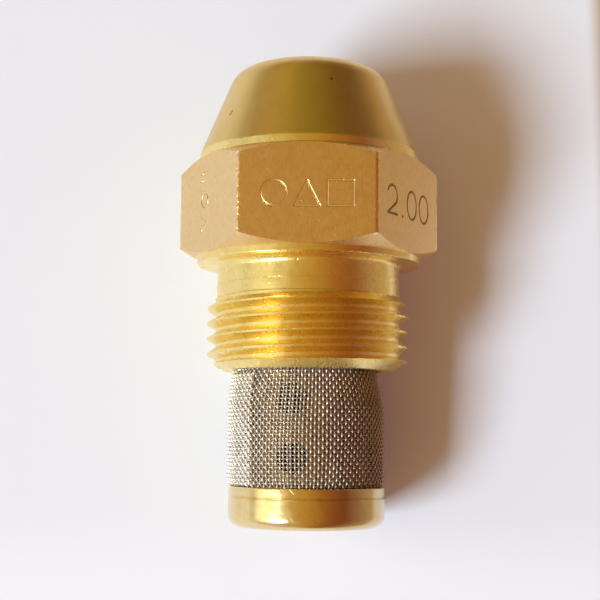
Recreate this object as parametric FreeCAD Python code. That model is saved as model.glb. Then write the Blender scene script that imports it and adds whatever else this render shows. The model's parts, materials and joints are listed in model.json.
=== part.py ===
import FreeCAD, Part
import math
import os

from FreeCAD import Placement, Rotation, Vector

# Oil burner nozzle, in millimetres. The axis is +Z, towards the spray. The origin is the middle
# of the strainer cap's bottom, so heights are measured from there. One hex flat faces -Y.

AXIS = Vector(0, 0, 1)
CENTRE = Vector(0, 0, 0)
RUNNING_GAP = 0.02        # radial play of a piece that slides into another
OVERCUT = 1.0             # how far a cutting tool passes outside what it cuts
EDGE_BREAK = 0.08

# Body, outside
BODY_BOTTOM = 10.8
END_FACE_RADIUS = 6.0
THREAD_BOTTOM = 11.5
THREAD_TOP = 15.35
THREAD_RADIUS = 7.11      # 9/16-24 UNEF, class 2A
THREAD_PITCH = 25.4 / 24
THREAD_DEPTH = 0.61
THREAD_CREST_ANGLE = 180  # where a crest's middle is at THREAD_CREST_HEIGHT
THREAD_CREST_HEIGHT = 12.99
THREAD_SECTORS = 16       # the crest is drawn in this many stretches a turn
THREAD_SECTOR_START = 4   # angle where the first stretch begins
NECK_BOTTOM = 15.92
NECK_STEP_HEIGHT = 16.77
NECK_RADIUS = 6.44
NECK_STEP = 0.04
NECK_BLEND = 0.15
SEAT_HEIGHT = 18.28
SEAT_FILLET = 0.45
SEAT_RADIUS = 7.9
SEAT_BAND_TOP = 18.75
HEX_FLATS = 16.0
HEX_CORNER_RADIUS = HEX_FLATS / 2 / math.cos(math.radians(30))
HEX_EDGE_ROUNDING = 0.3
HEX_CHAMFER = math.radians(30)
COLLAR_RADIUS = 7.85
COLLAR_BOTTOM = 25.63
CONE_BOTTOM = 26.12
CONE_HALF_ANGLE = math.radians(22.5)
NOSE_TOP = 32.42
NOSE_ROUNDING = 1.8

# Body, inside
MOUTH_RADIUS = 5.16
MOUTH_TOP = 12.3
BORE_RADIUS = 4.75        # crests of the inside thread
BORE_TOP = 22.4
BORE_PITCH = 25.4 / 32
BORE_THREAD_DEPTH = 0.37
BORE_THREAD_TOP = 21.6
CHAMBER_RADIUS = 4.3
CHAMBER_TOP = 26.2
CHAMBER_ROUNDING = 0.2
DISC_BORE_RADIUS = 3.4
DISC_TOP = 31.0
WINDOW_RADIUS = 2.5
WINDOW_MOUTH_RADIUS = 3.25

# Orifice disc
DISC_BOTTOM = 28.3
DISC_CONE_MOUTH = 2.5
SWIRL_CHAMBER_RADIUS = 0.9
SWIRL_CHAMBER_BOTTOM = 29.9
SWIRL_CHAMBER_TOP = 30.3
ORIFICE_RADIUS = 0.35
ORIFICE_TOP = 30.65
SPRAY_DIMPLE_RADIUS = 0.7
SPRAY_DIMPLE_EDGE = 0.05

# Swirl cone
CONE_SEAT_GAP = 0.04
CONE_TIP_HEIGHT = 29.85
CONE_HEAD_TOP = 28.2
CONE_FLANGE_TOP = 25.9
CONE_FLANGE_BOTTOM = 24.4
CONE_FLANGE_RADIUS = 4.1
CONE_HEAD_RADIUS = DISC_BORE_RADIUS - RUNNING_GAP
SWIRL_SLOTS = 4
SWIRL_SLOT_ANGLE = 45     # the slots lie between the feed grooves
SWIRL_SLOT_WIDTH = 0.4
SWIRL_SLOT_OFFSET = 0.6
SWIRL_SLOT_DEPTH = 0.35
FEED_GROOVES = 4
FEED_GROOVE_WIDTH = 1.2
FEED_GROOVE_DEPTH = 0.8

# Lock screw
SCREW_BOTTOM = 17.6
SCREW_TOP = 21.3
SCREW_BOSS_RADIUS = 2.0
SCREW_BOSS_TOP = 24.35
SCREW_BORE_RADIUS = 1.1
SCREW_BORE_TOP = 23.4
SCREW_CROSS_HOLE_RADIUS = 0.55
SCREW_CROSS_HOLE_HEIGHT = 22.6
SCREW_CROSS_HOLES = 4
SCREW_CROSS_HOLE_ANGLE = 45
SCREW_SLOT_WIDTH = 1.3
SCREW_SLOT_DEPTH = 1.4

# Threads: 60 degree flanks, whose groove takes seven eighths of the pitch at the crest
FLANK_ANGLE = math.radians(30)
GROOVE_HALF_SHARE = 7 / 16
GROOVE_OVERCUT = 0.25

# Threads of the inner pieces: their crests clear the body's inside crests
INNER_CREST_RADIUS = BORE_RADIUS - 0.03
INNER_THREAD_DEPTH = 0.36
INNER_THREAD_CHAMFER = 0.35

# Strainer core
CORE_BOTTOM = 0.95
CORE_FOOT_TOP = 2.1
CORE_FOOT_RADIUS = 4.95
CORE_FOOT_ROUNDING = 0.2
CORE_RADIUS = 4.6
CORE_BAND_BOTTOM = 11.0
CORE_BAND_TOP = 12.0
CORE_BAND_RADIUS = 4.68
CORE_THREAD_BOTTOM = 12.5
CORE_THREAD_ROOT = 4.3
CORE_TOP = 16.0
CORE_BORE_RADIUS = 3.6
CORE_OUTLET_BOTTOM = 10.6
CORE_OUTLET_RADIUS = 2.3
CORE_HOLE_RADIUS = 1.06
CORE_HOLE_HEIGHTS = (4.78, 8.74)
CORE_HOLE_FIRST_ANGLE = -11.8

# Strainer mesh: the sleeve stands for two wires' thickness of woven cloth
MESH_THICKNESS = 0.22
MESH_RADIUS = 5.4
MESH_FOOT_RADIUS = 5.2
MESH_HEAD_RADIUS = 4.92
MESH_BOTTOM = 1.4
MESH_FOOT_TOP = 2.75
MESH_WIDE_BOTTOM = 3.15
MESH_WIDE_TOP = 8.2
MESH_SHOULDER = 0.3
MESH_HEAD_BOTTOM = 10.75
MESH_TOP = 11.9
LAP_START_ANGLE = 165
LAP_ANGLE = 61
LAP_BOTTOM = 2.95
LAP_TOP = 10.45
LAP_LOOSE_BOTTOM = 8.3    # above this the outer layer stands off the narrowing sleeve

# End cap
CAP_RADIUS = 5.48
CAP_HEIGHT = 2.8
CAP_ROUNDING = 0.8
CAP_RIM_HEIGHT = 2.0
CAP_RIM_GROOVE = 0.06
CAP_RIM_GROOVE_WIDTH = 0.16
CAP_INNER_RADIUS = MESH_FOOT_RADIUS + RUNNING_GAP
CAP_FLOOR = 0.9

# Stamped marks on the hex flats: a ball-ended stroke pressed in by MARK_DEPTH
MARK_BALL = 0.09
MARK_DEPTH = 0.08
SIGN_HEIGHT = 22.1
SIGN_SPACING = 2.2
SIGN_SIZE = 0.85
DIGIT_BASE = 21.1
DIGIT_HEIGHT = 1.95
DIGIT_HALF_WIDTH = 0.7
DIGIT_CROWN_TURNS = range(160, -41, -25)  # points of the two's round top, in degrees
DIGIT_MIDDLES = (-2.46, 0.45, 2.31)
POINT_MIDDLE = -0.95
SMALL_SIGN_MIDDLE = -0.41
SMALL_SIGN_HEIGHTS = (24.0, 22.4, 20.8)
SMALL_SIGN_SIZE = 0.5


def turned(corners):
    """Solid of revolution. Each corner is (radius, height, rounding), in order round the outline."""
    joints = []
    for index, (radius, height, rounding) in enumerate(corners):
        here = Vector(radius, 0, height)
        before = Vector(corners[index - 1][0], 0, corners[index - 1][1])
        after = Vector(corners[(index + 1) % len(corners)][0], 0, corners[(index + 1) % len(corners)][1])
        to_before = (before - here).normalize()
        to_after = (after - here).normalize()
        half = to_before.getAngle(to_after) / 2
        reach = rounding / math.tan(half)
        inwards = (to_before + to_after).normalize() if rounding else Vector()
        middle = here + inwards * (rounding / math.sin(half) - rounding)
        joints.append((here + to_before * reach, middle, here + to_after * reach, rounding))
    edges = []
    for index, (start, middle, end, rounding) in enumerate(joints):
        if rounding:
            edges.append(Part.Arc(start, middle, end).toShape())
        next_start = joints[(index + 1) % len(joints)][0]
        edges.append(Part.makeLine(end, next_start))
    return Part.Face(Part.Wire(edges)).revolve(CENTRE, AXIS, 360)


def drilled(radius, bottom, top):
    """Cylinder on the axis between two heights."""
    return Part.makeCylinder(radius, top - bottom, Vector(0, 0, bottom), AXIS)


def helical_groove(pitch, bottom, top, crest_radius, depth, crest_angle, crest_height):
    """Groove of a 60 degree right-hand thread, as one solid a turn. Negative depths cut into a bore."""
    lean = math.tan(FLANK_ANGLE)
    half_mouth = pitch * GROOVE_HALF_SHARE
    mouth_radius = crest_radius + math.copysign(GROOVE_OVERCUT, depth)
    floor_radius = crest_radius - depth
    half_floor = half_mouth - abs(depth) * lean
    corners = [
        Vector(mouth_radius, 0, -half_mouth - GROOVE_OVERCUT * lean),
        Vector(mouth_radius, 0, half_mouth + GROOVE_OVERCUT * lean),
        Vector(floor_radius, 0, half_floor),
        Vector(floor_radius, 0, -half_floor),
    ]
    path = Part.makeHelix(pitch, pitch, crest_radius)
    sweep = Part.BRepOffsetAPI.MakePipeShell(Part.Wire(path))
    sweep.setFrenetMode(True)
    sweep.add(Part.makePolygon(corners + corners[:1]))
    sweep.build()
    sweep.makeSolid()
    turns_down = math.ceil((crest_height - bottom) / pitch) + 0.5
    start = crest_height - turns_down * pitch
    turns = []
    for index in range(math.ceil((top - start) / pitch)):
        turn = sweep.shape().copy()
        turn.rotate(CENTRE, AXIS, crest_angle)
        turn.translate(Vector(0, 0, start + index * pitch))
        turns.append(turn)
    return turns


def around(shape, count, first_angle=0.0):
    """Copies of a shape at equal angles round the axis."""
    copies = []
    for index in range(count):
        copy = shape.copy()
        copy.rotate(CENTRE, AXIS, first_angle + 360 * index / count)
        copies.append(copy)
    return copies


def hex_prism():
    """Hexagonal bar with slightly rounded edges, one flat towards -Y."""
    corners = [Rotation(AXIS, 60 * index).multVec(Vector(HEX_CORNER_RADIUS, 0, 0)) for index in range(6)]
    corners.append(corners[0])
    bar = Part.Face(Part.makePolygon(corners)).extrude(AXIS * (NOSE_TOP + OVERCUT))
    upright = [edge for edge in bar.Edges if abs(edge.tangentAt(edge.FirstParameter).z) > 0.9]
    return bar.makeFillet(HEX_EDGE_ROUNDING, upright)


def body_blank():
    """Outside of the body, turned and milled, before its bore, thread and marks."""
    chamfer_rise = (HEX_CORNER_RADIUS - SEAT_RADIUS) * math.tan(HEX_CHAMFER)
    chamfer_fall = (HEX_CORNER_RADIUS - COLLAR_RADIUS) * math.tan(HEX_CHAMFER)
    nose_radius = COLLAR_RADIUS - (NOSE_TOP - CONE_BOTTOM) * math.tan(CONE_HALF_ANGLE)
    blank = turned([
        (0, BODY_BOTTOM, 0),
        (END_FACE_RADIUS, BODY_BOTTOM, EDGE_BREAK),
        (THREAD_RADIUS, THREAD_BOTTOM, 0),
        (NECK_RADIUS - OVERCUT, THREAD_BOTTOM, 0),
        (NECK_RADIUS - OVERCUT, THREAD_TOP, 0),
        (THREAD_RADIUS, THREAD_TOP, 0),
        (NECK_RADIUS + NECK_STEP, NECK_BOTTOM, NECK_BLEND),
        (NECK_RADIUS + NECK_STEP, NECK_STEP_HEIGHT, 0),
        (NECK_RADIUS, NECK_STEP_HEIGHT + NECK_STEP, 0),
        (NECK_RADIUS, SEAT_HEIGHT, SEAT_FILLET),
        (SEAT_RADIUS, SEAT_HEIGHT, EDGE_BREAK),
        (SEAT_RADIUS, SEAT_BAND_TOP, 0),
        (HEX_CORNER_RADIUS, SEAT_BAND_TOP + chamfer_rise, 0),
        (HEX_CORNER_RADIUS, COLLAR_BOTTOM - chamfer_fall, 0),
        (COLLAR_RADIUS, COLLAR_BOTTOM, 0),
        (COLLAR_RADIUS, CONE_BOTTOM, EDGE_BREAK),
        (nose_radius, NOSE_TOP, NOSE_ROUNDING),
        (0, NOSE_TOP, 0),
    ])
    sector_angle = 360 / THREAD_SECTORS
    thread_length = THREAD_TOP - THREAD_BOTTOM
    foot = Vector(0, 0, THREAD_BOTTOM)
    sector = Part.makeCylinder(THREAD_RADIUS, thread_length, foot, AXIS, sector_angle)
    return blank.multiFuse(around(sector, THREAD_SECTORS, THREAD_SECTOR_START)).common(hex_prism())


def body_bore():
    """Everything the tools take out of the body along its axis."""
    return turned([
        (0, BODY_BOTTOM - OVERCUT, 0),
        (MOUTH_RADIUS + OVERCUT + EDGE_BREAK, BODY_BOTTOM - OVERCUT, 0),
        (MOUTH_RADIUS, BODY_BOTTOM + EDGE_BREAK, 0),
        (MOUTH_RADIUS, MOUTH_TOP, 0),
        (BORE_RADIUS, MOUTH_TOP + MOUTH_RADIUS - BORE_RADIUS, 0),
        (BORE_RADIUS, BORE_TOP, 0),
        (CHAMBER_RADIUS, BORE_TOP, 0),
        (CHAMBER_RADIUS, CHAMBER_TOP, CHAMBER_ROUNDING),
        (DISC_BORE_RADIUS, CHAMBER_TOP, 0),
        (DISC_BORE_RADIUS, DISC_TOP, 0),
        (WINDOW_RADIUS, DISC_TOP, 0),
        (WINDOW_MOUTH_RADIUS, NOSE_TOP, 0),
        (0, NOSE_TOP, 0),
    ])


def stroke(start, end):
    """Straight ball-ended stroke between two points of a flat, at the flat's surface."""
    line = Vector(end[0] - start[0], end[1] - start[1], 0)
    first = Vector(start[0], start[1], MARK_BALL - MARK_DEPTH)
    last = first + line
    return [
        Part.makeCylinder(MARK_BALL, line.Length, first, line),
        Part.makeSphere(MARK_BALL, first),
        Part.makeSphere(MARK_BALL, last),
    ]


def strokes(points):
    """Strokes joining a row of points."""
    solids = []
    for start, end in zip(points, points[1:]):
        solids += stroke(start, end)
    return solids


def oval(middle, half_width, half_height):
    """Ball-ended stroke round an oval."""
    centre = Vector(middle[0], middle[1], MARK_BALL - MARK_DEPTH)
    curve = Part.Ellipse(centre, half_height, half_width).toShape()
    curve.rotate(centre, AXIS, 90)
    section = Part.Circle(curve.valueAt(curve.FirstParameter), curve.tangentAt(curve.FirstParameter), MARK_BALL)
    return [Part.Wire(curve).makePipeShell([Part.Wire(section.toShape())], True, True)]


def ring(middle, radius):
    """Ball-ended stroke round a circle."""
    return [Part.makeTorus(radius, MARK_BALL, Vector(middle[0], middle[1], MARK_BALL - MARK_DEPTH))]


def on_flat(solids, angle):
    """Marks drawn flat, moved onto the hex flat that is turned by angle from the one at -Y."""
    stand_up = Rotation(Vector(1, 0, 0), 90)
    turn = Rotation(AXIS, angle)
    outwards = turn.multVec(Vector(0, -HEX_FLATS / 2, 0))
    moved = []
    for solid in solids:
        copy = solid.copy()
        copy.Placement = Placement(outwards, turn * stand_up).multiply(solid.Placement)
        moved.append(copy)
    return moved


def front_marks():
    """Three plain signs: a ring, a triangle and a square."""
    size = SIGN_SIZE
    left = -SIGN_SPACING
    right = SIGN_SPACING
    base = SIGN_HEIGHT - size
    top = SIGN_HEIGHT + size
    signs = ring((left, SIGN_HEIGHT), size)
    signs += strokes([(-size, base), (size, base), (0, top), (-size, base)])
    signs += strokes([(right - size, base), (right + size, base), (right + size, top),
                      (right - size, top), (right - size, base)])
    return on_flat(signs, 0)


def size_number():
    """A plain number with two decimals, on the flat to the right of the front one."""
    first, second, third = DIGIT_MIDDLES
    half = DIGIT_HALF_WIDTH
    top_middle = DIGIT_BASE + DIGIT_HEIGHT - half
    crown = [(first + half * math.cos(math.radians(turn)), top_middle + half * math.sin(math.radians(turn)))
             for turn in DIGIT_CROWN_TURNS]
    marks = strokes(crown + [(first - half, DIGIT_BASE), (first + half, DIGIT_BASE)])
    marks += [Part.makeSphere(MARK_BALL + MARK_DEPTH / 2, Vector(POINT_MIDDLE, DIGIT_BASE, MARK_BALL / 2))]
    for middle in (second, third):
        marks += oval((middle, DIGIT_BASE + DIGIT_HEIGHT / 2), half, DIGIT_HEIGHT / 2)
    return on_flat(marks, 60)


def small_marks():
    """Three small plain signs in a column, on the flat to the left of the front one."""
    top, middle, bottom = SMALL_SIGN_HEIGHTS
    size = SMALL_SIGN_SIZE
    column = SMALL_SIGN_MIDDLE
    marks = stroke((column - size, top - size / 2), (column + size, top - size / 2))
    marks += stroke((column - size, top + size / 2), (column + size, top + size / 2))
    marks += ring((column, middle), size)
    marks += strokes([(column - size, bottom - size), (column + size, bottom), (column - size, bottom + size)])
    return on_flat(marks, -60)


def nozzle_body():
    """Brass body: hex, seat, inlet thread and nose in one turned and milled piece."""
    body = body_blank().cut(body_bore())
    outer_groove = helical_groove(THREAD_PITCH, BODY_BOTTOM - OVERCUT, NECK_BOTTOM + THREAD_PITCH / 2,
                                  THREAD_RADIUS, THREAD_DEPTH, THREAD_CREST_ANGLE, THREAD_CREST_HEIGHT)
    inner_groove = helical_groove(BORE_PITCH, MOUTH_TOP - OVERCUT / 2, BORE_THREAD_TOP,
                                  BORE_RADIUS, -BORE_THREAD_DEPTH, 0, MOUTH_TOP)
    body = body.cut(outer_groove).cut(inner_groove)
    return body.cut(front_marks() + size_number() + small_marks())


def orifice_disc():
    """Steel disc pressed into the nose: inner cone, swirl chamber and spray hole."""
    return turned([
        (DISC_CONE_MOUTH, DISC_BOTTOM, 0),
        (DISC_BORE_RADIUS, DISC_BOTTOM, 0),
        (DISC_BORE_RADIUS, DISC_TOP, 0),
        (SPRAY_DIMPLE_RADIUS, DISC_TOP, SPRAY_DIMPLE_EDGE),
        (ORIFICE_RADIUS, ORIFICE_TOP, 0),
        (ORIFICE_RADIUS, SWIRL_CHAMBER_TOP, 0),
        (SWIRL_CHAMBER_RADIUS, SWIRL_CHAMBER_TOP, 0),
        (SWIRL_CHAMBER_RADIUS, SWIRL_CHAMBER_BOTTOM, 0),
    ])


def swirl_cone():
    """Steel cone whose slanted slots set the oil spinning before the spray hole."""
    slope = (DISC_CONE_MOUTH - SWIRL_CHAMBER_RADIUS) / (SWIRL_CHAMBER_BOTTOM - DISC_BOTTOM)
    tip_radius = SWIRL_CHAMBER_RADIUS + (SWIRL_CHAMBER_BOTTOM - CONE_TIP_HEIGHT) * slope - CONE_SEAT_GAP
    foot_radius = SWIRL_CHAMBER_RADIUS + (SWIRL_CHAMBER_BOTTOM - CONE_HEAD_TOP) * slope - CONE_SEAT_GAP
    cone = turned([
        (0, CONE_FLANGE_BOTTOM, 0),
        (CONE_FLANGE_RADIUS, CONE_FLANGE_BOTTOM, EDGE_BREAK),
        (CONE_FLANGE_RADIUS, CONE_FLANGE_TOP, EDGE_BREAK),
        (CONE_HEAD_RADIUS, CONE_FLANGE_TOP, 0),
        (CONE_HEAD_RADIUS, CONE_HEAD_TOP, EDGE_BREAK),
        (foot_radius, CONE_HEAD_TOP, 0),
        (tip_radius, CONE_TIP_HEIGHT, 0),
        (0, CONE_TIP_HEIGHT, 0),
    ])
    slant = math.atan(slope)
    length = (CONE_TIP_HEIGHT - CONE_HEAD_TOP) / math.cos(slant) + 2 * OVERCUT
    slot = Part.makeBox(SWIRL_SLOT_DEPTH + OVERCUT, SWIRL_SLOT_WIDTH, length,
                        Vector(-SWIRL_SLOT_DEPTH, -SWIRL_SLOT_WIDTH / 2, -length / 2))
    slot.rotate(CENTRE, Vector(0, 1, 0), -math.degrees(slant))
    middle_height = (CONE_HEAD_TOP + CONE_TIP_HEIGHT) / 2
    slot.translate(Vector((foot_radius + tip_radius) / 2, SWIRL_SLOT_OFFSET, middle_height))
    groove_length = CONE_HEAD_TOP - CONE_FLANGE_BOTTOM + 2 * OVERCUT
    groove = Part.makeBox(2 * OVERCUT + FEED_GROOVE_DEPTH, FEED_GROOVE_WIDTH, groove_length,
                          Vector(CONE_HEAD_RADIUS - FEED_GROOVE_DEPTH, -FEED_GROOVE_WIDTH / 2,
                                 CONE_FLANGE_BOTTOM - OVERCUT))
    return cone.cut(around(slot, SWIRL_SLOTS, SWIRL_SLOT_ANGLE) + around(groove, FEED_GROOVES))


def threaded_blank(bottom, top):
    """Turned length with chamfered ends, sized for the inner thread's crests."""
    root = INNER_CREST_RADIUS - INNER_THREAD_CHAMFER
    return turned([
        (0, bottom, 0),
        (root, bottom, 0),
        (INNER_CREST_RADIUS, bottom + INNER_THREAD_CHAMFER, 0),
        (INNER_CREST_RADIUS, top - INNER_THREAD_CHAMFER, 0),
        (root, top, 0),
        (0, top, 0),
    ])


def inner_thread_groove(bottom, top):
    """Groove of the inner thread, run out past both ends of its length."""
    return helical_groove(BORE_PITCH, bottom - BORE_PITCH / 2, top + BORE_PITCH / 2,
                          INNER_CREST_RADIUS, INNER_THREAD_DEPTH, 0, MOUTH_TOP + BORE_PITCH / 2)


def lock_screw():
    """Brass screw that holds the swirl cone up: slotted, bored and cross-drilled for the oil."""
    screw = threaded_blank(SCREW_BOTTOM, SCREW_TOP).fuse(
        drilled(SCREW_BOSS_RADIUS, SCREW_TOP - OVERCUT, SCREW_BOSS_TOP))
    slot_length = 2 * (BORE_RADIUS + OVERCUT)
    slot = Part.makeBox(slot_length, SCREW_SLOT_WIDTH, SCREW_SLOT_DEPTH + OVERCUT,
                        Vector(-slot_length / 2, -SCREW_SLOT_WIDTH / 2, SCREW_BOTTOM - OVERCUT))
    cross_hole = Part.makeCylinder(SCREW_CROSS_HOLE_RADIUS, 2 * SCREW_BOSS_RADIUS,
                                   Vector(0, 0, SCREW_CROSS_HOLE_HEIGHT), Vector(1, 0, 0))
    bore = drilled(SCREW_BORE_RADIUS, SCREW_BOTTOM - OVERCUT, SCREW_BORE_TOP)
    screw = screw.cut(inner_thread_groove(SCREW_BOTTOM, SCREW_TOP))
    return screw.cut([slot, bore]).cut(around(cross_hole, SCREW_CROSS_HOLES, SCREW_CROSS_HOLE_ANGLE))


def strainer_core():
    """Brass core: threaded spigot above, cross-drilled tube inside the mesh below."""
    tube = turned([
        (0, CORE_BOTTOM, 0),
        (CORE_FOOT_RADIUS, CORE_BOTTOM, CORE_FOOT_ROUNDING),
        (CORE_FOOT_RADIUS, CORE_FOOT_TOP, 0),
        (CORE_RADIUS, CORE_FOOT_TOP, 0),
        (CORE_RADIUS, CORE_BAND_BOTTOM, 0),
        (CORE_BAND_RADIUS, CORE_BAND_BOTTOM + EDGE_BREAK, 0),
        (CORE_BAND_RADIUS, CORE_BAND_TOP, EDGE_BREAK),
        (CORE_THREAD_ROOT, CORE_BAND_TOP, 0),
        (CORE_THREAD_ROOT, CORE_THREAD_BOTTOM + OVERCUT, 0),
        (0, CORE_THREAD_BOTTOM + OVERCUT, 0),
    ])
    reach = CORE_RADIUS + OVERCUT
    hole = Part.makeCylinder(CORE_HOLE_RADIUS, 2 * reach, Vector(0, reach, 0), Vector(0, -1, 0))
    bores = [
        drilled(CORE_BORE_RADIUS, CORE_BOTTOM - OVERCUT, CORE_OUTLET_BOTTOM),
        drilled(CORE_OUTLET_RADIUS, CORE_OUTLET_BOTTOM - OVERCUT, CORE_TOP + OVERCUT),
    ]
    core = tube.fuse(threaded_blank(CORE_THREAD_BOTTOM, CORE_TOP))
    core = core.cut(inner_thread_groove(CORE_THREAD_BOTTOM, CORE_TOP)).cut(bores)
    for height in CORE_HOLE_HEIGHTS:
        for angle in (CORE_HOLE_FIRST_ANGLE, CORE_HOLE_FIRST_ANGLE + 90):
            drill = hole.copy()
            drill.rotate(CENTRE, AXIS, angle)
            drill.translate(Vector(0, 0, height))
            core = core.cut(drill)
    return core


def strainer_mesh():
    """Woven sleeve as a thin wall, with the doubled strip where the cloth laps over itself."""
    outline = [
        (MESH_FOOT_RADIUS, MESH_BOTTOM, 0),
        (MESH_FOOT_RADIUS, MESH_FOOT_TOP, 0),
        (MESH_RADIUS, MESH_WIDE_BOTTOM, MESH_SHOULDER),
        (MESH_RADIUS, MESH_WIDE_TOP, 0),
        (MESH_HEAD_RADIUS, MESH_HEAD_BOTTOM, 0),
        (MESH_HEAD_RADIUS, MESH_TOP, 0),
    ]
    inner = [(radius - MESH_THICKNESS, height, rounding) for radius, height, rounding in reversed(outline)]
    sleeve = turned(outline + inner)
    lap_radius = MESH_RADIUS + MESH_THICKNESS
    lap = Part.makePolygon([
        Vector(MESH_FOOT_RADIUS, 0, LAP_BOTTOM),
        Vector(lap_radius, 0, MESH_WIDE_BOTTOM + MESH_THICKNESS),
        Vector(lap_radius, 0, LAP_TOP),
        Vector(MESH_RADIUS, 0, LAP_TOP),
        Vector(MESH_RADIUS, 0, LAP_LOOSE_BOTTOM),
        Vector(MESH_RADIUS - MESH_THICKNESS / 2, 0, MESH_WIDE_TOP),
        Vector(MESH_RADIUS - MESH_THICKNESS / 2, 0, MESH_WIDE_BOTTOM),
        Vector(MESH_FOOT_RADIUS, 0, LAP_BOTTOM),
    ])
    strip = Part.Face(lap).revolve(CENTRE, AXIS, LAP_ANGLE)
    strip.rotate(CENTRE, AXIS, LAP_START_ANGLE)
    return sleeve.fuse(strip)


def end_cap():
    """Brass cup that closes the strainer's free end, with a fine groove under its rim."""
    groove_radius = CAP_RADIUS - CAP_RIM_GROOVE
    return turned([
        (0, 0, 0),
        (CAP_RADIUS, 0, CAP_ROUNDING),
        (CAP_RADIUS, CAP_RIM_HEIGHT, 0),
        (groove_radius, CAP_RIM_HEIGHT + CAP_RIM_GROOVE, 0),
        (groove_radius, CAP_RIM_HEIGHT + CAP_RIM_GROOVE_WIDTH - CAP_RIM_GROOVE, 0),
        (CAP_RADIUS, CAP_RIM_HEIGHT + CAP_RIM_GROOVE_WIDTH, 0),
        (CAP_RADIUS, CAP_HEIGHT, EDGE_BREAK),
        (CAP_INNER_RADIUS, CAP_HEIGHT, EDGE_BREAK),
        (CAP_INNER_RADIUS, CAP_FLOOR, 0),
        (0, CAP_FLOOR, 0),
    ])


PIECES = {
    "nozzle_body": nozzle_body,
    "orifice_disc": orifice_disc,
    "swirl_cone": swirl_cone,
    "lock_screw": lock_screw,
    "strainer_core": strainer_core,
    "strainer_mesh": strainer_mesh,
    "end_cap": end_cap,
}

os.makedirs("parts", exist_ok=True)
for name, make in PIECES.items():
    shape = make()
    shape.exportStep("parts/" + name + ".step")
    print(name, shape.ShapeType, len(shape.Solids), shape.isValid(), round(shape.Volume, 2), len(shape.Faces))
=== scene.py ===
import json
import math

import bpy
import numpy as np
from mathutils import Matrix, Vector


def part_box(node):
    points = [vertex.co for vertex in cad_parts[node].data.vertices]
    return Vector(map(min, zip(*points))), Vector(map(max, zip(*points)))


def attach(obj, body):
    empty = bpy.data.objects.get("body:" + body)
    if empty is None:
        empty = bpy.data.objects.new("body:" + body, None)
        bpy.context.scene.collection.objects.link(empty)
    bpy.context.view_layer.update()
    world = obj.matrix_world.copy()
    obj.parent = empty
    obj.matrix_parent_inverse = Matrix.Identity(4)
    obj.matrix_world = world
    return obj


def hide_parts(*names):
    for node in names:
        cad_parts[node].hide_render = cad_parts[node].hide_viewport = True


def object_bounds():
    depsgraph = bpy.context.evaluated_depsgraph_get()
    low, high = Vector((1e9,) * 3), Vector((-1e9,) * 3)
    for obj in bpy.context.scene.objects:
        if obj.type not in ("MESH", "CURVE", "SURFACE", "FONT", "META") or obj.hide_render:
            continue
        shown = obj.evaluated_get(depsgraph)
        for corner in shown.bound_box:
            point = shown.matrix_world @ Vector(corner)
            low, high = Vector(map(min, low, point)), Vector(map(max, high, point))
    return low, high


# Oil burner nozzle, in metres, in the CAD frame: the axis is +Z, towards the spray, and the
# camera looks from -Y. The brass pieces are the CAD solids with procedural finishes, and the
# strainer's sleeve is woven here wire by wire in the CAD sleeve's place.

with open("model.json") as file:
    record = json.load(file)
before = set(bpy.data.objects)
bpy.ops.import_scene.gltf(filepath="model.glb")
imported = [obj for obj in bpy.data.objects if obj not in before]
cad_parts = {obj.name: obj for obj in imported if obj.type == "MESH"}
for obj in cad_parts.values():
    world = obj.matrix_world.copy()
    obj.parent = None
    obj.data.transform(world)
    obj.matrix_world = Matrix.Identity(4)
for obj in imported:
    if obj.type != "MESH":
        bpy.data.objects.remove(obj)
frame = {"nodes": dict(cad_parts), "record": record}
cad_low, cad_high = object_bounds()

MM = 0.001
random = np.random.default_rng(16)

# Where things are on the part, read from the CAD frame
AXIS_MIDDLE = Vector((0, 0, cad_high.z / 2))
HEX_HALF_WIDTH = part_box("nozzle_body")[1].y
HEX_CORNER_X = HEX_HALF_WIDTH / math.sqrt(3)    # where the front flat meets the right one
CAP_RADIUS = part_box("end_cap")[1].y
SEAT_HEIGHT = frame["record"]["mounts"][1]["pos_m"][2]
HEX_BOTTOM = SEAT_HEIGHT + 0.5 * MM
HEX_TOP = SEAT_HEIGHT + 7.3 * MM
CONE_BOTTOM = SEAT_HEIGHT + 7.9 * MM
MARKS_BOTTOM = SEAT_HEIGHT + 1.9 * MM
MARKS_TOP = SEAT_HEIGHT + 6.4 * MM

# Woven sleeve: plain weave, whose lapped strip lies one cloth thickness further out
WARP_RADIUS = 0.066 * MM
WEFT_RADIUS = 0.052 * MM
WARP_RISE = 0.10 * MM     # how far the warp wires swing out and in at the crossings
WEFT_RISE = 0.016 * MM
WARP_WIRES = 130
WEFT_PITCH = 0.266 * MM
WEAVE_BOTTOM = 2.2 * MM
WEAVE_TOP = 11.88 * MM
CLOTH_THICKNESS = 0.22 * MM
LAP_START = math.radians(165)
LAP_END = math.radians(226)
LAP_BOTTOM = 2.95 * MM
LAP_TOP = 10.6 * MM
LAP_MARGIN = 0.1          # radians on each side that the lap's edges may reach
LAP_LAYER = 0.14 * MM     # how far out the second layer of cloth lies
LAP_STOUTNESS = 1.15      # its wires are a little thicker than the sleeve's
LAP_LOOSE_BOTTOM = 8.2 * MM   # above this the outer layer narrows only by LAP_FOLLOW of the sleeve
LAP_FOLLOW = 0.5
WIRE_SIDES = 6
WIRE_JITTER = 0.04        # how far wires stray from even spacing, as a share of it
BEND_STEPS = 3            # straight bits of wire from one crossing to the next

# Camera
CAMERA_DISTANCE = 89.4 * MM
CAMERA_BELOW = math.radians(6.2)
CAMERA_RIGHT = math.radians(1.1)
CAMERA_ROLL = math.radians(0.5)
CAMERA_SIDE_STEP = 0.56 * MM
CAMERA_LENS = 75.3        # on Blender's 36 mm sensor
CAMERA_NEAREST = 5 * MM
AIM_HEIGHT = 15.9 * MM


# ---- Node graphs -------------------------------------------------------------------------

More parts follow.
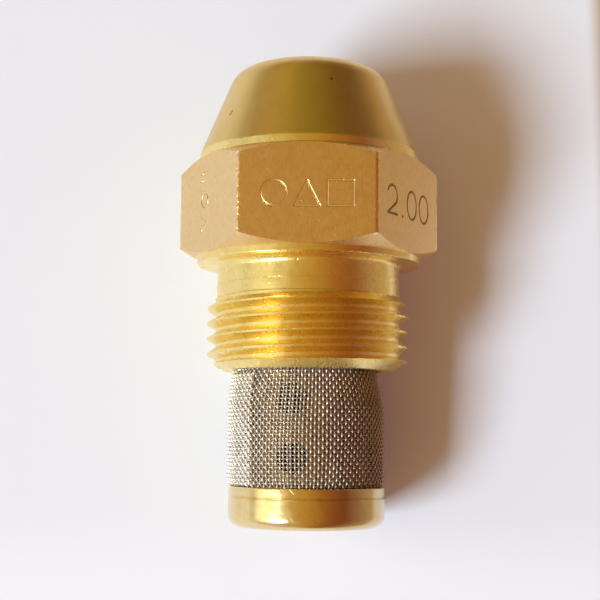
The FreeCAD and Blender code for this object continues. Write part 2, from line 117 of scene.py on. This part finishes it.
class Graph:
    """The node tree of a material or a world. Each method adds nodes and returns an output socket."""

    def __init__(self, owner):
        self.owner = owner
        owner.use_nodes = True
        self.tree = owner.node_tree
        self.tree.nodes.clear()

    def add(self, kind, inputs=None, **settings):
        node = self.tree.nodes.new("ShaderNode" + kind)
        for key, value in settings.items():
            setattr(node, key, value)
        for key, value in (inputs or {}).items():
            self.feed(node.inputs[key], value)
        return node

    def feed(self, socket, value):
        if isinstance(value, bpy.types.NodeSocket):
            self.tree.links.new(value, socket)
        else:
            socket.default_value = value

    def maths(self, operation, *values, clamp=False):
        node = self.add("Math", operation=operation, use_clamp=clamp)
        for socket, value in zip(node.inputs, values):
            self.feed(socket, value)
        return node.outputs[0]

    def times(self, *values):
        """The product of two or more values."""
        product = values[0]
        for value in values[1:]:
            product = self.maths("MULTIPLY", product, value)
        return product

    def between(self, value, start, end, low=0.0, high=1.0):
        """Rises smoothly from low to high while value goes from start to end."""
        inputs = {"Value": value, "From Min": start, "From Max": end, "To Min": low, "To Max": high}
        return self.add("MapRange", inputs, interpolation_type="SMOOTHSTEP").outputs[0]

    def mix(self, factor, first, second):
        node = self.add("Mix", data_type="RGBA")
        self.feed(node.inputs[0], factor)
        self.feed(node.inputs[6], first)
        self.feed(node.inputs[7], second)
        return node.outputs[2]

    def tones(self, share, stops):
        """Colour by direction: share is 0 at -180 degrees and 1 at 180."""
        node = self.add("ValToRGB", {"Fac": share})
        elements = node.color_ramp.elements
        while len(elements) < len(stops):
            elements.new(1)
        for element, (degrees, tone) in zip(elements, stops):
            element.position = (degrees + 180) / 360
            element.color = (*tone, 1)
        return node.outputs["Color"]

    def place_mm(self):
        """The point's place on the part, in millimetres."""
        place = self.add("TexCoord").outputs["Object"]
        return self.add("VectorMath", {0: place, "Scale": 1 / MM}, operation="SCALE").outputs[0]

    def split(self, vector):
        return self.add("SeparateXYZ", {0: vector}).outputs

    def join(self, x, y, z):
        return self.add("CombineXYZ", {0: x, 1: y, 2: z}).outputs[0]

    def stretched(self, vector, scale, turn=0.0):
        """The same pattern space, scaled on each axis after a turn about Z."""
        turned = self.add("Mapping", {"Vector": vector, "Rotation": (0, 0, turn)}).outputs[0]
        return self.add("Mapping", {"Vector": turned, "Scale": scale}).outputs[0]

    def noise(self, vector, scale, detail=3.0, roughness=0.55):
        inputs = {"Vector": vector, "Scale": scale, "Detail": detail, "Roughness": roughness}
        return self.add("TexNoise", inputs).outputs["Fac"]

    def finish(self, colour, roughness, height, bump, **constants):
        """Ends the tree in a metal surface. Constants go straight on the shader's sockets."""
        relief = self.add("Bump", {"Height": height, "Distance": bump, "Strength": 1.0}).outputs[0]
        inputs = {"Base Color": colour, "Roughness": roughness, "Normal": relief, "Metallic": 1.0}
        inputs.update({key.replace("_", " "): value for key, value in constants.items()})
        shader = self.add("BsdfPrincipled", inputs)
        self.add("OutputMaterial", {"Surface": shader.outputs[0]})
        return self.owner


def material_graph(name):
    return Graph(bpy.data.materials.new(name))


def wrapped(graph):
    """Coordinates that wrap the part: millimetres round the axis, and along it."""
    x, y, z = graph.split(graph.place_mm())
    angle = graph.maths("ARCTAN2", x, graph.times(y, -1.0))
    return graph.join(graph.times(angle, HEX_HALF_WIDTH / MM), z, 0.0)


def scratches(graph, around, amount):
    """Fine straight scratches at several slants, from 0 to 1."""
    total = 0.0
    for turn, spacing in ((0.35, 1.5), (-0.8, 2.1), (1.35, 1.2), (2.2, 1.8)):
        lines = graph.stretched(around, (spacing * 5, 0.22, 1.0), turn)
        sharp = graph.noise(lines, 1.0, detail=1.0)
        line = graph.between(sharp, 0.735 - amount, 0.78 - amount)
        total = graph.maths("MAXIMUM", line, total)
    patches = graph.between(graph.noise(around, 0.9), 0.42, 0.7)
    return graph.times(total, patches)


# ---- Brass -------------------------------------------------------------------------------

BRASS = (0.96, 0.76, 0.28, 1)
BRASS_CONE = (0.81, 0.585, 0.195, 1)
BRASS_FLAT = (0.90, 0.65, 0.31, 1)
BRASS_CAP = (0.83, 0.61, 0.22, 1)
BRASS_PALE = (0.93, 0.76, 0.42, 1)
BRASS_BROWN = (0.66, 0.38, 0.11, 1)
BRASS_DARK = (0.17, 0.08, 0.03, 1)
# Painted shade: dark brown for the cap's +X side and for the core under the sleeve
BRASS_PAINTED_SHADE = (0.30, 0.17, 0.08, 1)

BODY_RELIEF = 0.005 * MM
TOOL_MARK_RELIEF = 0.004 * MM

# Pits on the cone: place and reach, in millimetres
CONE_PITS = (
    ((1.55, -5.85, 30.35), 0.10),
    ((-5.42, -4.45, 28.30), 0.13),
    ((-5.30, -4.45, 28.48), 0.11),
    ((2.10, -6.80, 27.20), 0.07),
)


def hex_depths(graph):
    """Distances from the axis across the hex: the largest of the three, and the middle one."""
    x, y, _ = graph.split(graph.place_mm())
    across = []
    for angle in (math.radians(30), math.radians(90), math.radians(150)):
        along_x = graph.times(x, math.cos(angle))
        along_y = graph.times(y, math.sin(angle))
        across.append(graph.maths("ABSOLUTE", graph.maths("ADD", along_x, along_y)))
    largest = graph.maths("MAXIMUM", graph.maths("MAXIMUM", across[0], across[1]), across[2])
    smallest = graph.maths("MINIMUM", graph.maths("MINIMUM", across[0], across[1]), across[2])
    total = graph.maths("ADD", graph.maths("ADD", across[0], across[1]), across[2])
    middle = graph.maths("SUBTRACT", graph.maths("SUBTRACT", total, largest), smallest)
    return largest, middle


def zone(graph, height, bottom, top, blur=0.06):
    """1 between two heights of the part and 0 outside them."""
    above = graph.between(height, bottom / MM - blur, bottom / MM + blur)
    below = graph.between(height, top / MM - blur, top / MM + blur, 1.0, 0.0)
    return graph.times(above, below)


def turned_rings(graph, around, fineness):
    """Tool marks that run round the axis."""
    lines = graph.stretched(around, (0.02, fineness, 1.0))
    return graph.noise(lines, 1.0, detail=4.0, roughness=0.7)


def stroke_mask(graph, height, largest, middle):
    """1 down in the marks pressed into the flats. Away from its edges, a flat has
    nothing else that lies below it."""
    depth = HEX_HALF_WIDTH / MM
    sunk = graph.between(largest, depth - 0.05, depth - 0.012, 1.0, 0.0)
    off_edges = graph.between(middle, depth - 0.8, depth - 0.6, 1.0, 0.0)
    inside = graph.times(zone(graph, height, MARKS_BOTTOM, MARKS_TOP), off_edges)
    return graph.times(sunk, inside)


def near(graph, place, reach, fade):
    """1 close to a point of the part, in millimetres, and 0 beyond reach."""
    here = graph.place_mm()
    away = graph.add("VectorMath", {0: here, 1: place}, operation="DISTANCE").outputs["Value"]
    return graph.between(away, reach - fade, reach + fade, 1.0, 0.0)


def pits(graph):
    """A few small dark pits in the cone's surface."""
    total = 0.0
    for place, reach in CONE_PITS:
        total = graph.maths("MAXIMUM", total, near(graph, place, reach, 0.04))
    return total


def body_brass():
    """Nozzle body: satin turned cone, duller drawn hex flats with marks, shinier neck and thread."""
    graph = material_graph("brass_body_finish")
    around = wrapped(graph)
    x, _, height = graph.split(graph.place_mm())
    largest, middle = hex_depths(graph)
    flats = zone(graph, height, HEX_BOTTOM, HEX_TOP)
    cone = graph.between(height, CONE_BOTTOM / MM - 0.1, CONE_BOTTOM / MM + 0.1)
    marks = stroke_mask(graph, height, largest, middle)
    right_flat = graph.between(x, HEX_CORNER_X / MM - 0.05, HEX_CORNER_X / MM + 0.05)
    dark_marks = graph.times(marks, right_flat)
    corner = graph.between(middle, HEX_HALF_WIDTH / MM - 0.35, HEX_HALF_WIDTH / MM - 0.1)
    chips = graph.between(graph.noise(around, 3.5, detail=3.0), 0.48, 0.62)
    wear = graph.times(corner, chips, flats)
    off_cone = graph.maths("SUBTRACT", 1.0, cone)
    nicks = graph.between(graph.noise(graph.place_mm(), 3.6, detail=0.0), 0.76, 0.86)
    nicks = graph.times(nicks, off_cone)
    scored = scratches(graph, around, 0.0)

    colour = graph.mix(cone, BRASS, BRASS_CONE)
    colour = graph.mix(flats, colour, BRASS_FLAT)
    cloud = graph.between(graph.noise(around, 0.45), 0.3, 0.7, 0.0, 0.16)
    colour = graph.mix(cloud, colour, BRASS_PALE)
    tarnish = graph.between(graph.noise(around, 1.1, detail=5.0), 0.5, 0.85, 0.0, 0.2)
    colour = graph.mix(tarnish, colour, BRASS_BROWN)
    grain = graph.noise(graph.stretched(around, (9.0, 2.2, 1.0)), 1.0)
    grain = graph.between(grain, 0.35, 0.7, 0.0, 0.3)
    colour = graph.mix(graph.times(grain, flats), colour, BRASS_BROWN)
    specks = graph.between(graph.noise(graph.place_mm(), 5.0, detail=1.0), 0.73, 0.80)
    specks = graph.times(specks, off_cone, 0.6)
    colour = graph.mix(specks, colour, BRASS_DARK)
    colour = graph.mix(graph.times(pits(graph), 0.8), colour, BRASS_DARK)
    colour = graph.mix(graph.times(scored, 0.35), colour, BRASS_PALE)
    # Painted highlight: the pressed marks are lightened as if catching the light
    colour = graph.mix(graph.times(marks, 0.7), colour, BRASS_PALE)
    colour = graph.mix(graph.times(dark_marks, 0.85), colour, BRASS_DARK)
    colour = graph.mix(wear, colour, BRASS_PALE)

    matt = graph.times(flats, 0.07)
    satin = graph.times(cone, 0.06)
    base = graph.between(graph.noise(around, 1.4), 0.25, 0.75, 0.25, 0.32)
    roughness = graph.maths("ADD", graph.maths("ADD", base, matt), satin)
    roughness = graph.maths("SUBTRACT", roughness, graph.times(wear, 0.15), clamp=True)

    off_flats = graph.maths("SUBTRACT", 1.0, flats)
    turned = graph.times(turned_rings(graph, around, 7.0), off_flats)
    drawn = graph.times(graph.noise(around, 9.0, detail=4.0), flats)
    relief = graph.maths("ADD", turned, drawn)
    relief = graph.maths("SUBTRACT", relief, graph.times(scored, 0.8))
    relief = graph.maths("SUBTRACT", relief, graph.times(wear, 1.8))
    relief = graph.maths("SUBTRACT", relief, graph.times(nicks, 1.8))
    return graph.finish(colour, roughness, relief, BODY_RELIEF)


def plain_brass(name, tone, browned, smoothest, roughest, fineness):
    """A turned or pressed brass piece with soft clouds of tarnish, and painted shade darkening it
    towards +X.
    """
    graph = material_graph(name)
    around = wrapped(graph)
    cloud = graph.noise(around, 0.7)
    colour = graph.mix(graph.between(cloud, 0.3, 0.7, 0.0, 0.4), tone, BRASS_PALE)
    tarnish = graph.between(graph.noise(around, 2.2, detail=5.0), 0.5, 0.8, 0.0, 0.6)
    colour = graph.mix(tarnish, colour, BRASS_BROWN)
    sideways = graph.split(graph.place_mm())[0]
    # Painted shade: darker towards +X, the side turned away from the window
    colour = graph.mix(graph.between(sideways, -0.5, 3.0, 0.0, browned), colour, BRASS_PAINTED_SHADE)
    scored = scratches(graph, around, 0.01)
    colour = graph.mix(graph.times(scored, 0.3), colour, BRASS_PALE)
    roughness = graph.between(graph.noise(around, 1.6), 0.3, 0.7, smoothest, roughest)
    rings = turned_rings(graph, around, fineness)
    relief = graph.maths("SUBTRACT", rings, graph.times(scored, 0.7))
    lacquer = {"Coat_Weight": 1.0, "Coat_IOR": 1.6, "Coat_Roughness": 0.2}
    return graph.finish(colour, roughness, relief, TOOL_MARK_RELIEF, **lacquer)


def shaded_core_brass():
    """The strainer's core: brass painted dark brown, as painted shade for the gap under the mesh."""
    graph = material_graph("brass_core_painted_shade")
    around = wrapped(graph)
    # Painted shade: the core is coloured dark throughout for the shade under the sleeve
    shade_patches = graph.between(graph.noise(around, 0.9, detail=4.0), 0.35, 0.7)
    colour = graph.mix(shade_patches, BRASS_BROWN, BRASS_PAINTED_SHADE)
    roughness = graph.between(graph.noise(around, 2.0), 0.3, 0.7, 0.38, 0.55)
    return graph.finish(colour, roughness, turned_rings(graph, around, 8.0), TOOL_MARK_RELIEF)


# ---- Steel -------------------------------------------------------------------------------

STEEL = (0.60, 0.58, 0.55, 1)
STEEL_WARM = (0.50, 0.45, 0.38, 1)
WIRE = (0.97, 0.93, 0.85, 1)
WIRE_DULL = (0.48, 0.40, 0.31, 1)
# Painted shade for the sleeve's +X side
WIRE_PAINTED_SHADE = (0.34, 0.22, 0.15, 1)
# Painted shade: a darker copy of the wire tone for the sleeve's recessed weft wires
WEFT_PAINTED_SHADE = (0.46, 0.39, 0.31, 1)

WIRE_RELIEF = 0.002 * MM


def turned_steel(name):
    """Fine-turned stainless steel."""
    graph = material_graph(name)
    around = wrapped(graph)
    colour = graph.mix(graph.between(graph.noise(around, 1.2), 0.3, 0.7), STEEL, STEEL_WARM)
    scored = scratches(graph, around, 0.0)
    colour = graph.mix(graph.times(scored, 0.3), colour, STEEL)
    roughness = graph.between(graph.noise(around, 2.0), 0.3, 0.7, 0.24, 0.36)
    relief = graph.maths("SUBTRACT", turned_rings(graph, around, 11.0), scored)
    return graph.finish(colour, roughness, relief, TOOL_MARK_RELIEF)


def wire_steel(name, tone):
    """Drawn stainless wire, a little dulled, with painted shade on the sleeve's +X side."""
    graph = material_graph(name)
    around = wrapped(graph)
    dull = graph.between(graph.noise(around, 0.8, detail=4.0), 0.4, 0.7, 0.0, 0.35)
    colour = graph.mix(dull, tone, WIRE_DULL)
    flecks = graph.between(graph.noise(around, 7.0, detail=2.0), 0.55, 0.75, 0.0, 0.4)
    colour = graph.mix(flecks, colour, WIRE_DULL)
    sideways = graph.split(graph.place_mm())[0]
    # Painted shade: the wires darken in ragged clouds towards +X, the side turned from the window
    ragged_shade = graph.maths("MULTIPLY_ADD", graph.noise(around, 0.9, detail=5.0), 3.0, sideways)
    colour = graph.mix(graph.between(ragged_shade, 1.5, 6.0, 0.0, 0.85), colour, WIRE_PAINTED_SHADE)
    roughness = graph.between(graph.noise(around, 4.0), 0.3, 0.7, 0.28, 0.42)
    relief = graph.noise(around, 30.0, detail=2.0)
    return graph.finish(colour, roughness, relief, WIRE_RELIEF, Metallic=0.82)


# ---- Woven sleeve ------------------------------------------------------------------------

def sleeve_outline():
    """The CAD sleeve's heights and outer radii away from its lapped strip, as two arrays."""
    points = np.array([v.co for v in frame["nodes"]["strainer_mesh"].data.vertices])
    angles = np.arctan2(points[:, 1], points[:, 0]) % math.tau
    lapped = (angles > LAP_START - LAP_MARGIN) & (angles < LAP_END + LAP_MARGIN)
    points = points[~lapped]
    radii = np.hypot(points[:, 0], points[:, 1])
    heights = np.unique(np.round(points[:, 2], 6))
    outer = [radii[np.abs(points[:, 2] - height) < 1e-6].max() for height in heights]
    return heights, np.array(outer)


SLEEVE_HEIGHTS, SLEEVE_RADII = sleeve_outline()


def cloth_radius(height):
    """Radius of the cloth's middle at a height."""
    return np.interp(height, SLEEVE_HEIGHTS, SLEEVE_RADII) - CLOTH_THICKNESS / 2


def no_lift(height):
    """The sleeve's own layer."""
    return 0.0 * height


def lap_lift(height):
    """How far the lapped strip stands out: one layer up, and more where it stands off the sleeve."""
    narrowing = cloth_radius(np.minimum(height, LAP_LOOSE_BOTTOM)) - cloth_radius(height)
    return LAP_LAYER + (1 - LAP_FOLLOW) * narrowing


def wires(name, paths, radius, closed):
    """One mesh of round wires. paths is an array: wire, point along it, coordinate."""
    count, length = paths.shape[:2]
    if closed:
        along = np.roll(paths, -1, axis=1) - np.roll(paths, 1, axis=1)
    else:
        along = np.gradient(paths, axis=1)
    along /= np.linalg.norm(along, axis=2, keepdims=True)
    outward = paths * (1, 1, 0)
    outward /= np.linalg.norm(outward, axis=2, keepdims=True)
    side = np.cross(along, outward)
    side /= np.linalg.norm(side, axis=2, keepdims=True)
    outward = np.cross(side, along)
    turns = np.arange(WIRE_SIDES) * math.tau / WIRE_SIDES
    ring = np.cos(turns)[:, None] * outward[:, :, None] + np.sin(turns)[:, None] * side[:, :, None]
    points = paths[:, :, None] + radius * ring

    index = np.arange(count * length * WIRE_SIDES).reshape(count, length, WIRE_SIDES)
    here = index if closed else index[:, :-1]
    ahead = np.roll(index, -1, axis=1) if closed else index[:, 1:]
    quads = np.stack([here, np.roll(here, -1, axis=2), np.roll(ahead, -1, axis=2), ahead], axis=3)
    faces = quads.reshape(-1, 4).tolist()
    if not closed:
        faces += index[:, 0, ::-1].tolist() + index[:, -1].tolist()
    mesh = bpy.data.meshes.new(name)
    mesh.from_pydata(points.reshape(-1, 3).tolist(), [], faces)
    mesh.polygons.foreach_set("use_smooth", [len(face) == 4 for face in faces])
    mesh.update()
    piece = bpy.data.objects.new(name, mesh)
    bpy.context.scene.collection.objects.link(piece)
    return piece


def on_sleeve(angle, height, rise):
    """Points on the cloth at angles and heights, rise above its middle."""
    radius = cloth_radius(height) + rise
    return np.stack([radius * np.cos(angle), radius * np.sin(angle), height], axis=-1)


def sway(angle, height):
    """The cloth isn't laid quite true: its wires drift a little sideways along the sleeve."""
    slow = 0.012 * np.sin(angle * 2 + height / (2.4 * MM))
    quick = 0.006 * np.sin(angle * 5 - height / (1.1 * MM))
    return slow + quick


def dip(angle):
    """The rings aren't quite level either."""
    return 0.04 * MM * np.sin(angle + 0.7) + 0.02 * MM * np.sin(3 * angle)


def weave(name, angles, heights, wire_count, lift, stoutness, whole_ring):
    """Warp and weft wires of one strip of plain weave, between two angles and two heights."""
    first, last = angles
    bottom, top = heights
    rows = round((top - bottom) / WEFT_PITCH)
    warp_angles = np.linspace(first, last, wire_count, endpoint=not whole_ring)
    warp_jitter = random.normal(0, WIRE_JITTER, wire_count) * (last - first) / wire_count
    steps = np.linspace(0, rows, rows * BEND_STEPS + 1)
    bend_heights = bottom + steps * (top - bottom) / rows
    angle, height = np.meshgrid(warp_angles + warp_jitter, bend_heights, indexing="ij")
    over = np.cos(math.pi * (steps[None, :] - 0.5 + np.arange(wire_count)[:, None]))
    drift = sway(angle, height)
    warp = on_sleeve(angle + drift, height + dip(angle), over * WARP_RISE + lift(height))
    warp_piece = wires(name + "_warp", warp, WARP_RADIUS * stoutness, closed=False)

    turns = wire_count if whole_ring else wire_count - 1
    steps = np.linspace(0, turns, turns * BEND_STEPS + 1)
    steps = steps[:-1] if whole_ring else steps
    ring_angles = first + steps * (last - first) / turns
    ring_heights = bottom + (np.arange(rows) + 0.5) * (top - bottom) / rows
    ring_heights = ring_heights + random.normal(0, WIRE_JITTER, rows) * WEFT_PITCH
    height, angle = np.meshgrid(ring_heights, ring_angles, indexing="ij")
    under = -np.cos(math.pi * (steps[None, :] + np.arange(rows)[:, None]))
    drift = sway(angle, height)
    weft = on_sleeve(angle + drift, height + dip(angle), under * WEFT_RISE + lift(height))
    weft_piece = wires(name + "_weft", weft, WEFT_RADIUS * stoutness, closed=whole_ring)
    return warp_piece, weft_piece


def woven_sleeve():
    """The sleeve, one layer all round and a second over the lapped strip."""
    all_round = (0.0, math.tau)
    sleeve_heights = (WEAVE_BOTTOM, WEAVE_TOP)
    warp, weft = weave("sleeve", all_round, sleeve_heights, WARP_WIRES, no_lift, 1.0, True)
    lap_angles = (LAP_START, LAP_END)
    lap_heights = (LAP_BOTTOM, LAP_TOP)
    lap_wires = round(WARP_WIRES * (LAP_END - LAP_START) / math.tau)
    lap = weave("lap", lap_angles, lap_heights, lap_wires, lap_lift, LAP_STOUTNESS, False)
    warp_finish = wire_steel("warp_wire_finish", WIRE)
    # The sleeve's weft wires get a darker copy of the wire finish as painted shade; the lap's weft keeps
    # the warp's
    weft_shade_finish = wire_steel("weft_wire_painted_shade", WEFT_PAINTED_SHADE)
    finishes = (warp_finish, weft_shade_finish, warp_finish, warp_finish)
    for piece, finish in zip((warp, weft, *lap), finishes):
        piece.data.materials.append(finish)
        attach(piece, "strainer")
        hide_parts("strainer_mesh")


# ---- Finishes on the CAD pieces ----------------------------------------------------------

def dress(node, finish):
    """Gives a CAD piece its finish."""
    piece = frame["nodes"][node]
    piece.data.materials.clear()
    piece.data.materials.append(finish)


def dress_all():
    """The sleeve's CAD piece has no finish of its own, since the woven wires stand for it."""
    # The cap gets painted shade on its +X side, the screw none
    pressed = {"browned": 0.35, "smoothest": 0.18, "roughest": 0.25, "fineness": 5.0}
    turned = {"browned": 0.0, "smoothest": 0.24, "roughest": 0.36, "fineness": 8.0}
    dress("nozzle_body", body_brass())
    dress("end_cap", plain_brass("brass_cap_finish", BRASS_CAP, **pressed))
    dress("strainer_core", shaded_core_brass())
    dress("lock_screw", plain_brass("brass_screw_finish", BRASS, **turned))
    dress("orifice_disc", turned_steel("steel_disc_finish"))
    dress("swirl_cone", turned_steel("steel_cone_finish"))


# ---- Stage, lights and camera ------------------------------------------------------------

TABLE_HALF = 600 * MM
CAP_REST_HEIGHT = 0.7 * MM    # where the cap's rounded rim touches the paper
CURL = math.radians(10)       # the paper curls back below the cap, clear of a strainer drawn out
CURL_RADIUS = 30 * MM
CURL_STEPS = 24
PAPER_EDGE = 22.3 * MM        # the paper gives way to a tan band, painted shade for the brass's reflections, from here to PAPER_FADE
PAPER_FADE = 24 * MM
PAPER_GREY = (0.86, 0.86, 0.86, 1)
PAPER_PALE = (0.89, 0.89, 0.88, 1)
TAN_PAINTED_SHADE = (0.54, 0.40, 0.23, 1)


def paper_outline():
    """The paper's line in the plane x = 0, from above the nozzle to past the cap, with the
    direction it faces. It touches the hex and the rim of the cap, and curls back below them."""
    rest_low = Vector((0, CAP_RADIUS, CAP_REST_HEIGHT))
    rest_high = Vector((0, HEX_HALF_WIDTH, HEX_BOTTOM))
    up = (rest_high - rest_low).normalized()
    facing = up.cross(Vector((1, 0, 0))).normalized()
    if facing.y > 0:
        facing = -facing
    outline = [rest_low + TABLE_HALF * up, rest_low]
    for step in range(CURL_STEPS):
        slope = Matrix.Rotation(CURL * (step + 0.5) / CURL_STEPS, 3, "X") @ up
        outline.append(outline[-1] - CURL_RADIUS * CURL / CURL_STEPS * slope)
    outline.append(outline[-1] - TABLE_HALF * slope)
    return outline, up.cross(facing), facing


def table_paper():
    """Pale paper, and a tan band beside it that puts painted shade into the brass's reflections. The far
    side lets light and sight through, so that the part can be looked at from behind."""
    graph = material_graph("table_paper")
    cloud = graph.noise(graph.place_mm(), 0.02)
    colour = graph.mix(cloud, PAPER_GREY, PAPER_PALE)
    sideways = graph.split(graph.place_mm())[0]
    # Painted shade: a tan band beyond PAPER_EDGE darkens what the brass reflects to its right
    colour = graph.mix(graph.between(sideways, PAPER_EDGE / MM, PAPER_FADE / MM), colour, TAN_PAINTED_SHADE)
    paper = graph.add("BsdfDiffuse", {"Color": colour}).outputs[0]
    clear = graph.add("BsdfTransparent").outputs[0]
    behind = graph.add("NewGeometry").outputs["Backfacing"]
    surface = graph.add("MixShader", {0: behind, 1: paper, 2: clear}).outputs[0]
    graph.add("OutputMaterial", {"Surface": surface})
    return graph.owner


def table():
    """The pale table top that the nozzle lies on."""
    outline, across, facing = paper_outline()
    corners = [list(place + side * TABLE_HALF * across) for place in outline for side in (-1, 1)]
    strips = [(i, i + 1, i + 3, i + 2) for i in range(0, len(corners) - 2, 2)]
    mesh = bpy.data.meshes.new("table")
    mesh.from_pydata(corners, [], strips)
    if mesh.polygons[0].normal.dot(facing) < 0:
        mesh.flip_normals()
    mesh.materials.append(table_paper())
    top = bpy.data.objects.new("table", mesh)
    bpy.context.scene.collection.objects.link(top)


# Lights: name, direction from the part, size in metres, power in watts, colour, and what they
# stay out of. The first two light the part without a reflection in its metal, and the last two
# show only as reflections.
LIGHT_DISTANCE = 1.5
LIGHTS = (
    ("window", (-0.62, -0.74, -0.36), (0.40, 0.57), 28.0, (0.66, 0.80, 1.0), "visible_glossy"),
    ("fill", (0.45, -0.85, 0.0), (0.80, 0.80), 1.2, (0.12, 0.04, 1.0), "visible_glossy"),
    ("window_shine", (-0.675, -0.685, -0.36), (0.40, 0.57), 18.0, (0.73, 0.83, 0.92), "visible_diffuse"),
    ("window_low", (-0.88, -0.43, -0.20), (0.60, 0.80), 1.35, (1.0, 0.97, 0.90), "visible_diffuse"),
)


def lights():
    """A soft window at the left and below, with a faint bluish fill from the right."""
    for name, direction, size, power, colour, out_of in LIGHTS:
        lamp = bpy.data.lights.new(name, "AREA")
        lamp.shape = "RECTANGLE"
        lamp.size, lamp.size_y = size
        lamp.energy = power
        lamp.color = colour
        holder = bpy.data.objects.new(name, lamp)
        away = Vector(direction).normalized()
        holder.location = AXIS_MIDDLE + away * LIGHT_DISTANCE
        holder.rotation_euler = away.to_track_quat("Z", "Y").to_euler()
        setattr(holder, out_of, False)
        bpy.context.scene.collection.objects.link(holder)


# The room round the table: tones by direction, in degrees from straight at the camera, to the right
ROOM = (
    (-180, (0.62, 0.58, 0.60)),
    (-90, (0.68, 0.68, 0.70)),
    (-60, (0.61, 0.56, 0.42)),
    (-28, (0.54, 0.40, 0.17)),
    (-8, (0.53, 0.32, 0.08)),
    (12, (0.46, 0.25, 0.05)),
    (34, (0.35, 0.13, 0.04)),
    (58, (0.24, 0.08, 0.03)),
    (85, (0.42, 0.26, 0.20)),
    (180, (0.62, 0.58, 0.60)),
)
ROOM_ABOVE = (
    (-180, (0.25, 0.23, 0.16)),
    (-90, (0.31, 0.24, 0.12)),
    (-64, (0.46, 0.31, 0.10)),
    (-48, (0.58, 0.41, 0.13)),
    (-27, (0.33, 0.26, 0.05)),
    (-7, (0.28, 0.20, 0.03)),
    (14, (0.25, 0.21, 0.03)),
    (34, (0.20, 0.13, 0.02)),
    (55, (0.15, 0.07, 0.02)),
    (85, (0.15, 0.08, 0.05)),
    (180, (0.25, 0.23, 0.16)),
)
ROOM_ABOVE_FROM = 0.2         # how far up a direction points where ROOM starts to give way
ROOM_ABOVE_FULL = 0.7


def room():
    """A warm room: brighter by the window, dark to the right of the camera, dimmer above."""
    graph = Graph(bpy.data.worlds.new("room"))
    x, y, z = graph.split(graph.add("TexCoord").outputs["Generated"])
    angle = graph.maths("ARCTAN2", x, graph.times(y, -1.0))
    whole_turn = {"Value": angle, "From Min": -math.pi, "From Max": math.pi}
    share = graph.add("MapRange", whole_turn).outputs[0]
    above = graph.between(z, ROOM_ABOVE_FROM, ROOM_ABOVE_FULL)
    colour = graph.mix(above, graph.tones(share, ROOM), graph.tones(share, ROOM_ABOVE))
    background = graph.add("Background", {"Color": colour}).outputs[0]
    graph.add("OutputWorld", {"Surface": background})
    bpy.context.scene.world = graph.owner


def camera():
    """The camera stands a little towards the strainer's end and to the right of square-on."""
    toward = Vector((
        math.sin(CAMERA_RIGHT) * math.cos(CAMERA_BELOW),
        -math.cos(CAMERA_RIGHT) * math.cos(CAMERA_BELOW),
        -math.sin(CAMERA_BELOW),
    ))
    up = Vector((0, 0, 1))
    right = up.cross(toward).normalized()
    up = toward.cross(right)
    lean = Matrix.Rotation(CAMERA_ROLL, 3, toward)
    right, up = lean @ right, lean @ up
    turn = Matrix((right, up, toward)).transposed().to_4x4()
    aim = Vector((0, 0, AIM_HEIGHT)) - right * CAMERA_SIDE_STEP
    lens = bpy.data.cameras.new("camera")
    lens.lens = CAMERA_LENS
    lens.clip_start = CAMERA_NEAREST
    stand = bpy.data.objects.new("camera", lens)
    stand.matrix_world = Matrix.Translation(aim + toward * CAMERA_DISTANCE) @ turn
    bpy.context.scene.collection.objects.link(stand)
    bpy.context.scene.camera = stand


def colour_view():
    """Colours as they are, without a film look."""
    settings = bpy.context.scene.view_settings
    settings.view_transform = "Standard"
    settings.look = "None"


dress_all()
woven_sleeve()
table()
lights()
room()
camera()
colour_view()
